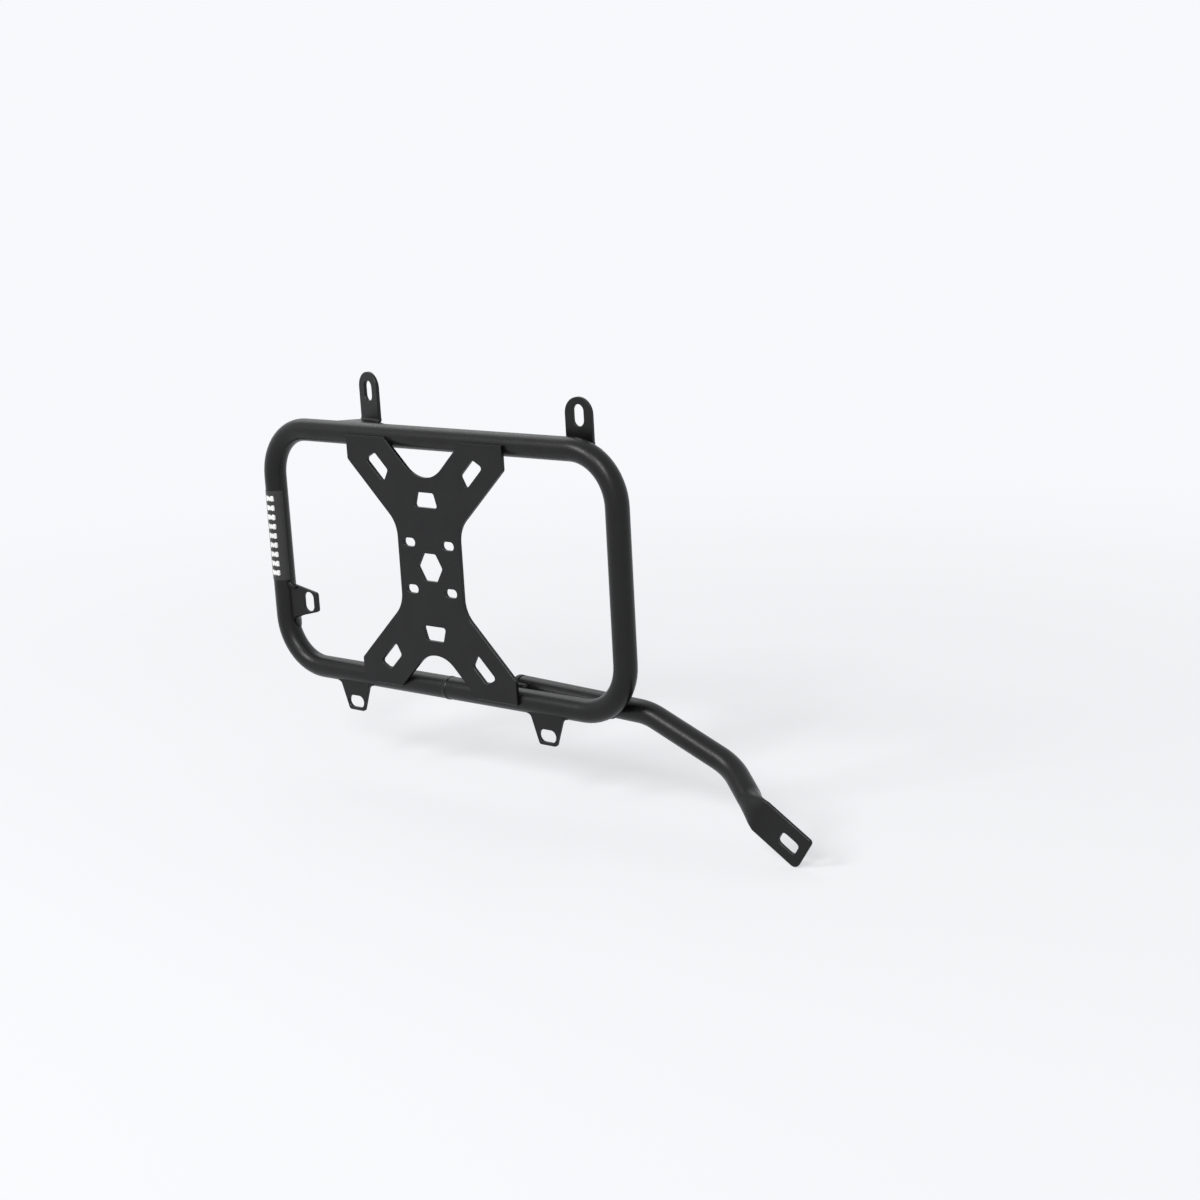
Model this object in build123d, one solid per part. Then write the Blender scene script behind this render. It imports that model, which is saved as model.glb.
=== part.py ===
from build123d import *
from math import cos, radians, sin, sqrt, tan
import os

os.makedirs("parts", exist_ok=True)

# Pannier frame for the right-hand side of a motorbike: a bent tube loop with a
# laser-cut cross plate, two slotted upper brackets, three slotted tabs and a
# support arm whose end is pressed flat. X runs forwards, Y inwards, Z up.
# The pieces are drawn round the middle of the loop, on the axis of its tube, and then
# moved so that the origin is the middle of the plate's outer face.

# Tube loop, measured on the axis
tube_od = 18.0
tube_wall = 1.5
loop_w = 353.0
loop_h = 196.5
loop_bend = 40.0
seam_x = 2.0
seam_gap = 1.2
seam_crown = 0.6
seam_weld_w = 4.0

# Cross plate, flat against the outside of the loop
plate_t = 3.0
plate_w = 160.0
plate_lap = 1.0
plate_foot = 19.0
waist_w = 64.0
waist_fillet = 24.0
shoulder_fillet = 3.0
notch_floor = 70.0
notch_r = 25.0
window_x = 47.7
window_z = 76.5
window_long = 25.0
window_short = 18.5
window_w = 11.0
window_fillet = 2.5
port_z = 46.7
port_h = 11.9
port_wide = 24.0
port_narrow = 17.0
port_fillet = 2.2
hole_w = 7.0
hole_l = 12.0
hole_pitch_x = 40.0
hole_pitch_z = 37.0
badge_hole = 22.0
badge_fillet = 2.0

# Sheet brackets and tabs; every fixing slot has the same size
sheet_t = 3.0
slot_w = 10.0
slot_l = 16.5
fold_r = 1.5
tongue_w = 25.0
rear_from_end = 66.9
rear_in = 39.1
rear_turn = 11.5
rear_lift = 0.8
rear_slot_up = 25.1
rear_round_up = 2.8
rear_front_run = 61.0
rear_back_run = 34.0
front_from_end = 42.5
front_in = 5.9
front_slot_up = 22.4
front_round_up = 1.0
front_front_run = 4.0
front_back_run = 2.0
tab_t = 3.0
tab_out = 4.6
tab_rear_from_end = 78.4
tab_front_from_end = 73.5
tab_reach = 30.6
tab_end_w = 16.4
tab_root_w = 31.0
tab_slot_at = 23.3
tab_fillet = 2.5
side_tab_z = -45.0
side_tab_out = 2.0
side_tab_turn = 6.0
side_tab_reach = 36.2
side_tab_end_w = 15.5
side_tab_root_w = 29.0
side_tab_slot_at = 27.0
edge_break = 0.4

# Support arm, welded beside the lower run of the loop
arm_od = 18.0
arm_wall = 1.5
arm_lap = 115.0
arm_rise = 4.1
arm_bend = 50.0
arm_past = 5.5
knee_run = 74.0
knee_out = 2.0
knee_drop = 29.1
crank_run = 43.2
crank_out = 26.7
crank_drop = 25.9
press_before = 16.0
press_split = 12.0
toe_slope = 32.5
toe_back = 3.4
toe_lift = 2.2
toe_w = 27.2
toe_bulge = 0.6
toe_slot_at = 28.1
toe_slot_low = 0.7
toe_end = 14.5
toe_fillet_upper = 3.0
toe_fillet_lower = 5.0
toe_slit = 0.5

# Plastic plug in the open end of the arm
cap_head = 5.5
cap_dome = 3.0
cap_shadow_gap = 1.2
cap_collar = 1.0
cap_plug = 14.0
cap_fit = 0.1
cap_fin_w = 1.2
cap_fin_h = 0.7
cap_fins = 3

# Label on the rear upright
label_t = 0.25
label_glue = 0.05
label_low = -27.5
label_high = 47.0
label_turn_from = -175.0
label_turn_to = -15.0

# Weld beads
weld_bite = 1.0
bead_taper = 0.6
bead_tip = 0.45
stitch_r = 2.4
stitch_l = 10.0
stitch_inner = 42.0
stitch_outer = 70.0
fillet_r = 2.8
fillet_l = 12.0
root_rise = 3.5
root_leg_rear = 3.4
root_leg_front = 4.8
root_leg_top = 1.8
nose_weld_turn = 23.0
nose_weld_side = 80.0
start_weld_at = 6.5
corner_weld_past = 16.0

tube_r = tube_od / 2
arm_r = arm_od / 2
half_w = loop_w / 2
half_h = loop_h / 2
rear_x = rear_from_end - half_w
front_x = half_w - front_from_end
flange_nose = front_in - sheet_t / 2 - fold_r
tab_rear_x = tab_rear_from_end - half_w
tab_front_x = half_w - tab_front_from_end


def bent_path(points, radius):
    """Straight runs through the points, with every corner bent to the radius."""
    corners = [Vector(*point) for point in points]
    edges = []
    start = corners[0]
    for before, corner, after in zip(corners, corners[1:], corners[2:]):
        into = (corner - before).normalized()
        out = (after - corner).normalized()
        half = radians(into.get_angle(out)) / 2
        first = corner - into * (radius * tan(half))
        last = corner + out * (radius * tan(half))
        middle = corner + (out - into).normalized() * (radius / cos(half) - radius)
        edges.append(Line(start, first))
        edges.append(ThreePointArc(first, middle, last))
        start = last
    edges.append(Line(start, corners[-1]))
    return Wire([edge.edge() for edge in edges])


def along(path, face):
    """Sweeps a flat face, drawn on the XY plane, along a path."""
    return sweep(Plane(origin=path @ 0, z_dir=path % 0) * face, path=path)


def bead(middle, direction, length, radius):
    """Weld bead: a round rod with tapered ends, along a direction in the XZ plane."""
    full = length / 2 - radius * bead_taper
    half = make_face(Polyline(
        (-length / 2, 0),
        (-length / 2, radius * bead_tip),
        (-full, radius),
        (full, radius),
        (length / 2, radius * bead_tip),
        (length / 2, 0),
        close=True,
    ))
    return Plane(origin=middle, x_dir=direction, z_dir=(0, 1, 0)) * revolve(half, Axis.X)


# The loop is one tube, bent four times, whose ends meet at a weld in the lower run
loop_path = bent_path([
    (seam_x + seam_gap / 2, 0, -half_h),
    (half_w, 0, -half_h),
    (half_w, 0, half_h),
    (-half_w, 0, half_h),
    (-half_w, 0, -half_h),
    (seam_x - seam_gap / 2, 0, -half_h),
], loop_bend)
loop_rod = along(loop_path, Circle(tube_r))
main_loop = along(loop_path, Circle(tube_r) - Circle(tube_r - tube_wall))

seam_side = tube_r - tube_wall
seam_crown_line = ThreePointArc(
    (-seam_weld_w / 2, tube_r),
    (0, tube_r + seam_crown),
    (seam_weld_w / 2, tube_r),
)
seam_top = make_face([seam_crown_line.edge(), Line(seam_crown_line @ 1, seam_crown_line @ 0).edge()])
seam_fill = Pos(0, (seam_side + tube_r) / 2) * Rectangle(seam_gap, tube_wall)
seam_weld = Pos(seam_x, 0, -half_h) * revolve(seam_top + seam_fill, Axis.X)

# Cross plate, drawn from the outside with its holes
plate_h = loop_h + 2 * plate_lap
shoulder = plate_h / 2 - plate_foot
waist_z = shoulder - (plate_w - waist_w) / 2
plate_right = [
    (plate_w / 2, plate_h / 2),
    (plate_w / 2, shoulder),
    (waist_w / 2, waist_z),
    (waist_w / 2, -waist_z),
    (plate_w / 2, -shoulder),
    (plate_w / 2, -plate_h / 2),
]
plate_left = [(-x, z) for x, z in reversed(plate_right)]
plate_face = make_face(Polyline(*plate_right, *plate_left, close=True))
waist_corners = plate_face.vertices().group_by(Axis.X)[1:-1]
plate_face = fillet([corner for side in waist_corners for corner in side], waist_fillet)
columns = plate_face.vertices().group_by(Axis.X)
shoulders = columns[0].sort_by(Axis.Y)[1:-1] + columns[-1].sort_by(Axis.Y)[1:-1]
plate_face = fillet(shoulders, shoulder_fillet)

notch_tip = notch_floor - notch_r * (sqrt(2) - 1)
notch = make_face(Polyline(
    (0, notch_tip), (plate_h, notch_tip + plate_h), (-plate_h, notch_tip + plate_h), close=True))
notch = fillet(notch.vertices().sort_by(Axis.Y)[:1], notch_r)

window = make_face(Polyline(
    (-window_long / 2, -window_w / 2),
    (window_long / 2, -window_w / 2),
    (window_short / 2, window_w / 2),
    (-window_short / 2, window_w / 2),
    close=True,
))
window = Pos(window_x, window_z) * Rot(0, 0, 45) * fillet(window.vertices(), window_fillet)

port = make_face(Polyline(
    (-port_wide / 2, port_z),
    (port_wide / 2, port_z),
    (port_narrow / 2, port_z + port_h),
    (-port_narrow / 2, port_z + port_h),
    close=True,
))
port = fillet(port.vertices(), port_fillet)

upper_cuts = notch + port + window + mirror(window, Plane.YZ)
holes = GridLocations(hole_pitch_x, hole_pitch_z, 2, 2) * SlotOverall(hole_l, hole_w)
badge = RegularPolygon(badge_hole / 2, 6, major_radius=False)
badge = fillet(badge.vertices(), badge_fillet)
plate_face = plate_face - upper_cuts - mirror(upper_cuts, Plane.XZ) - holes - badge
cross_plate = extrude(Plane.XZ.offset(tube_r) * plate_face, amount=plate_t)
cross_plate = chamfer(cross_plate.faces().sort_by(Axis.Y)[0].edges(), edge_break)


def folded_bracket(place, slot_up, round_up, outline):
    """Sheet bracket: a slotted tongue with a round top, folded from a flat flange."""
    fold_y = -sheet_t / 2 - fold_r
    fold_z = sheet_t / 2 + fold_r
    round_z = slot_up + round_up
    tongue = Pos(0, (fold_z + round_z) / 2) * Rectangle(tongue_w, round_z - fold_z)
    tongue = tongue + Pos(0, round_z) * Circle(tongue_w / 2)
    tongue = tongue - Pos(0, slot_up) * Rot(0, 0, 90) * SlotOverall(slot_l, slot_w)
    fold = Pos(fold_y, fold_z) * (Circle(fold_r + sheet_t) - Circle(fold_r))
    corner = Pos(fold_y, fold_z) * Rectangle(fold_r + sheet_t, fold_r + sheet_t, align=(Align.MIN, Align.MAX))
    upright = extrude(Plane.XZ * tongue, amount=sheet_t / 2, both=True)
    rims = upright.edges().filter_by(GeomType.CIRCLE) + upright.edges().filter_by(Axis.Z)
    upright = chamfer(rims, edge_break)
    bend = extrude(Plane.YZ * (fold & corner), amount=tongue_w / 2, both=True)
    flange = extrude(make_face(Polyline(*outline, close=True)), amount=sheet_t / 2, both=True)
    return place * (upright + bend) + flange - loop_rod


def flange_outline(place, front_run, back_run):
    """Plan of a flange: it widens from its fold to a nose at each end, along the tube."""
    fold_y = -sheet_t / 2 - fold_r
    back = place.from_local_coords(Vector(-tongue_w / 2, fold_y, 0))
    front = place.from_local_coords(Vector(tongue_w / 2, fold_y, 0))
    return [
        back,
        front,
        Vector(front.X + front_run, tube_r + flange_nose, front.Z),
        Vector(front.X + front_run, 0, front.Z),
        Vector(back.X - back_run, 0, back.Z),
        Vector(back.X - back_run, tube_r + flange_nose, back.Z),
    ]


rear_fold = Plane(
    origin=(rear_x, tube_r + rear_in, half_h + rear_lift),
    x_dir=(cos(radians(rear_turn)), -sin(radians(rear_turn)), 0),
    z_dir=(0, 0, 1),
)
rear_outline = flange_outline(rear_fold, rear_front_run, rear_back_run)
rear_bracket = folded_bracket(rear_fold, rear_slot_up, rear_round_up, rear_outline)
front_fold = Plane(origin=(front_x, tube_r + front_in, half_h), x_dir=(1, 0, 0), z_dir=(0, 0, 1))
front_outline = flange_outline(front_fold, front_front_run, front_back_run)
front_bracket = folded_bracket(front_fold, front_slot_up, front_round_up, front_outline)


def slotted_tab(place, reach, end_w, root_w, slot_at):
    """Sheet tab that stands on a tube, with its slot along the tube. Local Y points away from the axis."""
    blank = make_face(Polyline(
        (-root_w / 2, 0),
        (-root_w / 2, tube_r),
        (-end_w / 2, reach),
        (end_w / 2, reach),
        (root_w / 2, tube_r),
        (root_w / 2, 0),
        close=True,
    ))
    blank = fillet(blank.vertices().group_by(Axis.Y)[-1], tab_fillet)
    blank = blank - Pos(0, slot_at) * SlotOverall(slot_l, slot_w)
    tab = extrude(blank, amount=tab_t / 2, both=True)
    tab = chamfer(tab.faces().filter_by(Axis.Z).edges() - tab.edges().group_by(Axis.Y)[0], edge_break)
    return place * tab - loop_rod


def lower_tab_place(x):
    """Place of a tab under the lower run."""
    return Plane(origin=(x, -tab_out, -half_h), x_dir=(1, 0, 0), z_dir=(0, 1, 0))


lower_tab_rear = slotted_tab(lower_tab_place(tab_rear_x), tab_reach, tab_end_w, tab_root_w, tab_slot_at)
lower_tab_front = slotted_tab(lower_tab_place(tab_front_x), tab_reach, tab_end_w, tab_root_w, tab_slot_at)
side_place = Plane(
    origin=(-half_w, -side_tab_out, side_tab_z),
    x_dir=(0, 0, 1),
    z_dir=(-sin(radians(side_tab_turn)), cos(radians(side_tab_turn)), 0),
)
side_tab = slotted_tab(side_place, side_tab_reach, side_tab_end_w, side_tab_root_w, side_tab_slot_at)

# Support arm: straight beside the loop, bent down, bent outwards, then cranked and pressed flat
arm_y = tube_r + arm_r
arm_start = half_w - arm_lap
first_bend = half_w + arm_past
knee = Vector(first_bend + knee_run, arm_y - knee_out, -half_h - knee_drop)
crank = knee + Vector(crank_run, -crank_out, -crank_drop)
shin = (crank - knee).normalized()
toe = Vector(cos(radians(toe_slope)), 0, -sin(radians(toe_slope)))
toe_up = Vector(sin(radians(toe_slope)), 0, cos(radians(toe_slope)))
press_start = crank - shin * press_before
press_end = crank - toe * toe_back + toe_up * toe_lift
shin_up = (toe_up - shin * toe_up.dot(shin)).normalized()
round_place = Plane(origin=press_start, x_dir=shin_up, z_dir=shin)
flat_place = Plane(origin=press_end, x_dir=toe_up, z_dir=toe)


def closed_section(place, right, top):
    """Face whose left and lower edges mirror its right and upper ones."""
    half_turn = Rot(0, 0, 180)
    return place * make_face([edge.edge() for edge in (right, top, half_turn * right, half_turn * top)])


def round_section(radius):
    """Round tube before the press, split where the narrow edges of the flat begin."""
    side = Vector(radius * cos(radians(press_split)), radius * sin(radians(press_split)))
    right = ThreePointArc((side.X, -side.Y), (radius, 0), side)
    top = ThreePointArc(side, (0, radius), (-side.X, side.Y))
    return closed_section(round_place, right, top)


def flat_section(width, thick):
    """Pressed tube: two flats, joined by slightly bulged narrow edges."""
    side = Vector(width / 2 - toe_bulge, thick / 2)
    right = ThreePointArc((side.X, -side.Y), (width / 2, 0), side)
    top = Line(side, (-side.X, side.Y))
    return closed_section(flat_place, right, top)


arm_path = bent_path([
    (arm_start, arm_y, arm_rise - half_h),
    (first_bend, arm_y, -half_h),
    tuple(knee),
    tuple(press_start),
], arm_bend)
bore_r = arm_r - arm_wall
toe_t = 2 * arm_wall
toe_length = toe_slot_at + toe_end
toe_bar = extrude(flat_section(toe_w, toe_t), amount=toe_length)
toe_face = Plane(origin=press_end, x_dir=toe, z_dir=(0, -1, 0))
toe_plan = Pos(toe_length / 2, 0) * Rectangle(toe_length, toe_w)
toe_corners = toe_plan.vertices().group_by(Axis.X)[-1].sort_by(Axis.Y)
toe_plan = fillet(toe_corners[:1], toe_fillet_lower)
toe_plan = fillet(toe_plan.vertices().sort_by(Axis.Y)[-1:], toe_fillet_upper)
toe_plan = toe_plan - Pos(toe_slot_at, -toe_slot_low) * SlotOverall(slot_l, slot_w)
toe_bar = toe_bar & extrude(toe_face * toe_plan, amount=toe_t, both=True)
press_outside = loft([round_section(arm_r), flat_section(toe_w, toe_t)], ruled=True)
press_inside = loft([round_section(bore_r), flat_section(toe_w - 2 * arm_wall, toe_slit)], ruled=True)
arm_outside = along(arm_path, Circle(arm_r)) + press_outside
support_arm = arm_outside - along(arm_path, Circle(bore_r)) - press_inside + toe_bar

# Plug: a domed head, a collar that leaves a shadow gap, and a finned stem in the bore
stem_r = bore_r - cap_fit - cap_fin_h
cap_profile = make_face(Polyline(
    (-cap_head - cap_shadow_gap, 0),
    (-cap_head - cap_shadow_gap, arm_r),
    (-cap_shadow_gap, arm_r),
    (-cap_shadow_gap, arm_r - cap_collar),
    (0, arm_r - cap_collar),
    (0, stem_r),
    (cap_plug, stem_r),
    (cap_plug, 0),
    close=True,
))
cap_profile = fillet(cap_profile.vertices().group_by(Axis.X)[0].sort_by(Axis.Y)[-1:], cap_dome)
fin_pitch = cap_plug / (cap_fins + 1)
for fin in range(cap_fins):
    cap_profile += Pos(fin_pitch * (fin + 1), stem_r) * Rectangle(
        cap_fin_w, cap_fin_h, align=(Align.CENTER, Align.MIN))
cap_place = Plane(origin=arm_path @ 0, x_dir=arm_path % 0, z_dir=(0, 1, 0))
arm_end_cap = cap_place * revolve(cap_profile, Axis.X)

# Label wrapped round the outside of the rear upright
label_turn = label_turn_to - label_turn_from
label_in = CenterArc((0, 0), tube_r + label_glue, label_turn_from, label_turn)
label_out = CenterArc((0, 0), tube_r + label_glue + label_t, label_turn_from, label_turn)
label_ends = [Line(label_in @ end, label_out @ end) for end in (0, 1)]
label_face = make_face([edge.edge() for edge in (label_in, label_out, *label_ends)])
tube_label = Pos(-half_w, 0, label_low) * extrude(label_face, amount=label_high - label_low)

# Stitch welds behind the four feet of the plate, seated between its face and the tube
stitch_seat = stitch_r - weld_bite
stitch_y = -tube_r + stitch_seat
stitch_z = half_h - 2 * sqrt(tube_r * stitch_seat)
plate_welds = []
for x in (-stitch_outer, -stitch_inner, stitch_inner, stitch_outer):
    for z in (-stitch_z, stitch_z):
        plate_welds.append(bead((x, stitch_y, z), (1, 0, 0), stitch_l, stitch_r) - loop_rod - cross_plate)

# Fillet welds on top of the flanges, against the straight run of the tube
fillet_seat = fillet_r - weld_bite


def flange_bead(x, lift, bracket):
    """Bead on a flange that lies higher than the tube's axis by the lift."""
    up = lift + sheet_t / 2 + fillet_seat
    y = sqrt((tube_r + fillet_seat) ** 2 - up ** 2)
    return bead((x, y, half_h + up), (1, 0, 0), fillet_l, fillet_r) - loop_rod - bracket


rear_nose = rear_outline[2].X
rear_back = rear_outline[0].X
front_back = front_outline[0].X
rear_bracket_welds = [
    flange_bead(rear_back - fillet_l / 2, rear_lift, rear_bracket),
    flange_bead(rear_nose - fillet_l / 2, rear_lift, rear_bracket),
]

# The front flange ends on the bend of the loop, and the weld at its nose follows the tube
turn = radians(nose_weld_turn)
nose_side = radians(nose_weld_side)
bend_out = Vector(sin(turn), 0, cos(turn))
nose_out = bend_out * cos(nose_side) + Vector(0, sin(nose_side), 0)
bend_middle = Vector(half_w - loop_bend, 0, half_h - loop_bend)
nose_spot = bend_middle + bend_out * loop_bend + nose_out * (tube_r + stitch_r - weld_bite)
nose_bead = bead(tuple(nose_spot), (cos(turn), 0, -sin(turn)), stitch_l, stitch_r)
front_bracket_welds = [
    flange_bead(front_back, 0, front_bracket),
    nose_bead - loop_rod - front_bracket,
]


def root_weld(place, out, end, taper, leg, tab):
    """Hollow fillet at one end of a tab's root, between its broken edges. A negative leg mirrors it."""
    way = leg / abs(leg)
    low = sqrt(tube_r ** 2 - out ** 2)
    high = low + root_rise
    foot = Vector(way * end + leg, low)
    tip = Vector(way * (end - taper * (high - tube_r)), high)
    inner = Vector(way * (end - taper * root_rise), 0)
    outline = Polyline(tip, (inner.X, tip.Y), inner, (foot.X, 0), foot)
    hollow = TangentArc(foot, tip, tangent=(-way, 0))
    fill = make_face([*outline.edges(), hollow.edge()])
    return extrude(place * fill, amount=tab_t / 2 - edge_break, both=True) - loop_rod - tab


tab_taper = (tab_root_w - tab_end_w) / 2 / (tab_reach - tube_r)
side_taper = (side_tab_root_w - side_tab_end_w) / 2 / (side_tab_reach - tube_r)
tab_welds = []
for x, tab in ((tab_rear_x, lower_tab_rear), (tab_front_x, lower_tab_front)):
    for leg in (-root_leg_rear, root_leg_front):
        tab_welds.append(root_weld(lower_tab_place(x), tab_out, tab_root_w / 2, tab_taper, leg, tab))
for leg in (-root_leg_front, root_leg_top):
    tab_welds.append(root_weld(side_place, side_tab_out, side_tab_root_w / 2, side_taper, leg, side_tab))


def groove_bead(x, loop_rise, loop_slope, side):
    """Bead between the arm, which rises backwards, and the loop, which rises at its corner."""
    arm_slope = arm_rise / (arm_start - first_bend)
    rise = loop_rise - arm_slope * (x - first_bend)
    apart = sqrt(arm_y ** 2 + rise ** 2)
    to_loop = tube_r + fillet_seat
    to_arm = arm_r + fillet_seat
    share = (to_loop ** 2 - to_arm ** 2 + apart ** 2) / (2 * apart)
    off = side * sqrt(to_loop ** 2 - share ** 2)
    y = (share * arm_y + off * rise) / apart
    z = (off * arm_y - share * rise) / apart
    middle = (x, y, loop_rise - half_h + z)
    return bead(middle, (1, 0, (loop_slope + arm_slope) / 2), fillet_l, fillet_r) - loop_rod - arm_outside


# Beads in the two grooves between the arm and the loop, by the plug and at the loop's corner
corner_x = half_w - loop_bend + corner_weld_past
corner_drop = sqrt(loop_bend ** 2 - corner_weld_past ** 2)
arm_welds = []
for side in (-1, 1):
    arm_welds.append(groove_bead(arm_start + start_weld_at, 0, 0, side))
    arm_welds.append(groove_bead(corner_x, loop_bend - corner_drop, corner_weld_past / corner_drop, side))

nodes = {
    "main_loop": main_loop,
    "loop_seam_weld": seam_weld,
    "cross_plate": cross_plate,
    "plate_welds": Compound(plate_welds),
    "rear_bracket": rear_bracket,
    "rear_bracket_welds": Compound(rear_bracket_welds),
    "front_bracket": front_bracket,
    "front_bracket_welds": Compound(front_bracket_welds),
    "side_tab": side_tab,
    "lower_tab_rear": lower_tab_rear,
    "lower_tab_front": lower_tab_front,
    "tab_welds": Compound(tab_welds),
    "support_arm": support_arm,
    "arm_welds": Compound(arm_welds),
    "arm_end_cap": arm_end_cap,
    "tube_label": tube_label,
}
to_origin = Pos(0, tube_r + plate_t, 0)
for name, shape in nodes.items():
    export_step(to_origin * shape, f"parts/{name}.step")
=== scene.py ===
"""Looks of the pannier frame: powder coat, rippled welds, plug, label and a plain studio."""
import logging
import math
from dataclasses import dataclass
from enum import Enum

import bpy
import numpy as np
from mathutils import Matrix, Vector


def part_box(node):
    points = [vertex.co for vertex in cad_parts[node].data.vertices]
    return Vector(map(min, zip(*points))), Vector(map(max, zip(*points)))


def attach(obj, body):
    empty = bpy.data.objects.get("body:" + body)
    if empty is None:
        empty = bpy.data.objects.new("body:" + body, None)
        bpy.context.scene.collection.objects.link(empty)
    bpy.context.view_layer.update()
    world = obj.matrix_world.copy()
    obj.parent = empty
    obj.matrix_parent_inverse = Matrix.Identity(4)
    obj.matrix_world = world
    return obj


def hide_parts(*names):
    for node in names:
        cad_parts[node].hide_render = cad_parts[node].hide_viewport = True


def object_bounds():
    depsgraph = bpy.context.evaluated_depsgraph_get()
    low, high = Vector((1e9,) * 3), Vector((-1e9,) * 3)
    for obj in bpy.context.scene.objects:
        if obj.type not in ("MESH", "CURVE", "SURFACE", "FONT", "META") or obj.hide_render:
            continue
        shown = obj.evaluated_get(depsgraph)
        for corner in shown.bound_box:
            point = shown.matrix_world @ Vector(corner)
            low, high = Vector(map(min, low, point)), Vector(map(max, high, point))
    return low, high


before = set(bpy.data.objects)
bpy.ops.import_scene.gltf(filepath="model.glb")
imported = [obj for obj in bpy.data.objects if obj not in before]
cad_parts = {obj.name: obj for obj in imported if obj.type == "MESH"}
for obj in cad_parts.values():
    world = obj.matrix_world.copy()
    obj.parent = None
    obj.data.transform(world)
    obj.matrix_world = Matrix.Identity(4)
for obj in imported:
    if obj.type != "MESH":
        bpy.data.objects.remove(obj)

CAD_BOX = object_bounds()
BODY = "root"
MM = 0.001  # the fields below hold metres and degrees
MEAN_HUMP = 0.8  # about the mean of a half circle of height 1
log = logging.getLogger("pannier_frame")

Points = np.ndarray
Faces = np.ndarray


class Slot(Enum):
    """Names of two material slots of the record."""

    COAT = "powder_coat"
    LABEL = "label_film"


class Ripple(Enum):
    """Distance between the ripples of a weld, which grows with the speed of the torch."""

    CLOSE = 1.2 * MM
    WIDE = 1.6 * MM
    COARSE = 2.3 * MM


# Meshes


def full_turn(steps: int) -> Points:
    """Returns even angles once round, in radians, without the last, which is the first again."""
    return np.linspace(0, 2 * np.pi, steps, endpoint=False)


def unit(ways: Points) -> Points:
    """Returns ways of length 1, along the last axis of the array."""
    return ways / np.linalg.norm(ways, axis=-1, keepdims=True)


def rod_stations(rows: int, end_gap: float = 0.5) -> Points:
    """Places of a rod's rings along it, as the sines of even angles, so they crowd at its ends.

    Args:
        rows: Number of rings.
        end_gap: How far the outer rings stop short of the poles, times the number of rings.

    Returns:
        The places, from about -1 to 1.
    """
    return np.sin(np.linspace(-np.pi / 2, np.pi / 2, rows)) * (1 - end_gap / rows)


def ripple_swell(phase: Points, depth: float) -> Points:
    """Swell of a weld's ripples: 1 + depth (h - mean), with h a half circle over each ripple.

    Args:
        phase: Number of ripples passed at each point.
        depth: Height of a ripple, as a share of the bead's.

    Returns:
        The factor on the bead's height at each point.
    """
    share = np.mod(phase, 1.0)
    hump = np.sqrt(np.maximum(1 - (2 * share - 1) ** 2, 0))
    return 1 + depth * (hump - MEAN_HUMP)


def closed_grid(rows: int, columns: int) -> Faces:
    """Quads of a grid that closes both ways, as the skin of a ring does.

    Args:
        rows: Number of sections round the ring.
        columns: Number of points on a section.

    Returns:
        Corner numbers, one row of four for each quad.
    """
    here = np.arange(columns)[None, :]
    after = (here + 1) % columns
    first = np.arange(rows)[:, None] * columns
    second = (np.arange(rows)[:, None] + 1) % rows * columns
    quads = [first + here, first + after, second + after, second + here]
    return np.stack(quads, axis=-1).reshape(-1, 4)


def closed_rows(rows: int, columns: int) -> Faces:
    """Returns the quads of a grid of closed rings, without those from the last ring to the first."""
    return closed_grid(rows, columns)[:-columns]


def pole_fans(rows: int, columns: int) -> Faces:
    """Triangles that close the first and last ring of a grid with one pole each.

    Args:
        rows: Number of rings. The poles follow the grid's own points.
        columns: Number of points on a ring.

    Returns:
        Corner numbers, one row of three for each triangle.
    """
    here = np.arange(columns)
    after = (here + 1) % columns
    last = (rows - 1) * columns
    low = np.stack([after, here, np.full(columns, rows * columns)], axis=-1)
    high = np.stack([last + here, last + after, np.full(columns, rows * columns + 1)], axis=-1)
    return np.concatenate([low, high])


def solid(
    name: str, points: Points, faces: list[Faces], sharp: float = 180.0
) -> bpy.types.Object:
    """Puts a surface into a smooth mesh that rides on the frame.

    Args:
        name: Name of the piece.
        points: Corners of the surface, in metres, one row of three each.
        faces: Arrays of corner numbers.
        sharp: Turn between two faces, in degrees, from which their edge is sharp.

    Returns:
        The new object, at the origin.
    """
    mesh = bpy.data.meshes.new(name)
    mesh.from_pydata(points.tolist(), [], [face for group in faces for face in group.tolist()])
    mesh.polygons.foreach_set("use_smooth", np.ones(len(mesh.polygons), dtype=bool))
    mesh.set_sharp_from_angle(angle=math.radians(sharp))
    mesh.update()
    piece = bpy.data.objects.new(name, mesh)
    bpy.context.scene.collection.objects.link(piece)
    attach(piece, BODY)
    return piece


# Finishes


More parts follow.
